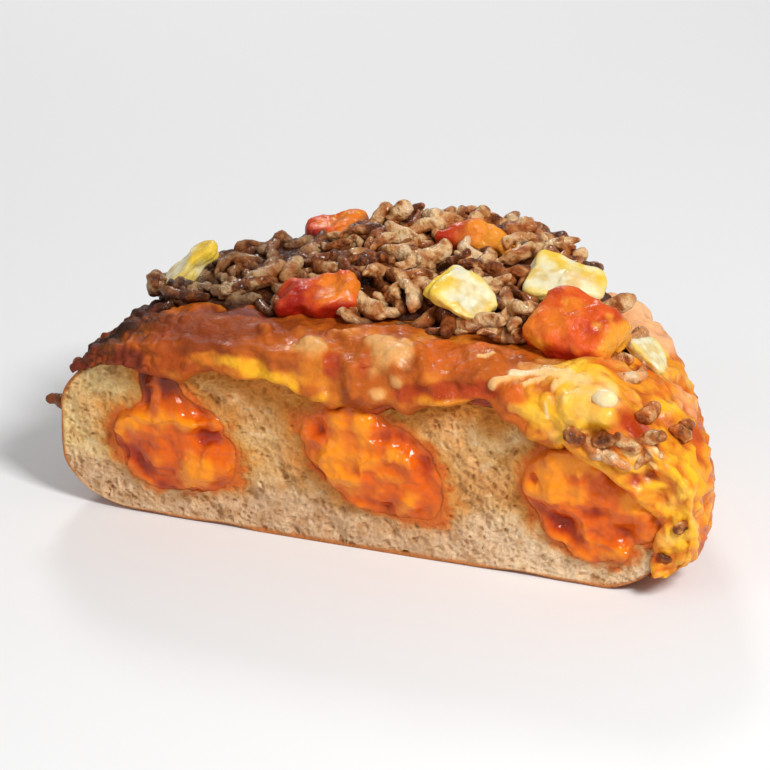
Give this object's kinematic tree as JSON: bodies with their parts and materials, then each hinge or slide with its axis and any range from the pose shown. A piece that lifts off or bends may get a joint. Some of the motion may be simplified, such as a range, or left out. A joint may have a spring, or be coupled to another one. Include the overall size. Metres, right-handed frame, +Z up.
{
  "type": "half of a cheeseburger pizza",
  "caption": "Half of a thick round pizza, cut straight across, with sauce pockets in the crumb, melted cheese, minced beef, and diced tomato and onion.",
  "frame": {"origin": "on the flat underside, 33 mm behind the cut and in line with the disc's centre", "axes": "+X to the right along the cut, +Y into the half disc away from the cut face, +Z up from the underside"},
  "size_m": [0.1395, 0.0743, 0.056],
  "materials": {
    "crumb": "soft open crumb with a thin baked crust",
    "crust": "thin browned crust",
    "cheddar_sauce": "thick glossy sauce",
    "tomato_sauce": "wet red sauce",
    "melted_cheese": "oily melted cheese with stretchy white and browned patches",
    "beef": "moist cooked mince",
    "tomato": "wet soft flesh",
    "onion": "wet translucent leaf"
  },
  "bodies": {
    "root": {"bread": "crumb", "cheddar_pocket_left": "cheddar_sauce", "cheddar_pocket_middle": "cheddar_sauce", "cheddar_pocket_right": "cheddar_sauce", "tomato_sauce": "tomato_sauce", "melted_cheese": "melted_cheese", "beef_mince": "beef", "tomato_dice_front": "tomato", "tomato_dice_big": "tomato", "tomato_dice_top": "tomato", "tomato_dice_back": "tomato", "onion_dice_left": "onion", "onion_dice_middle": "onion", "onion_dice_right": "onion", "onion_dice_rim": "onion"}
  },
  "joints": []
}
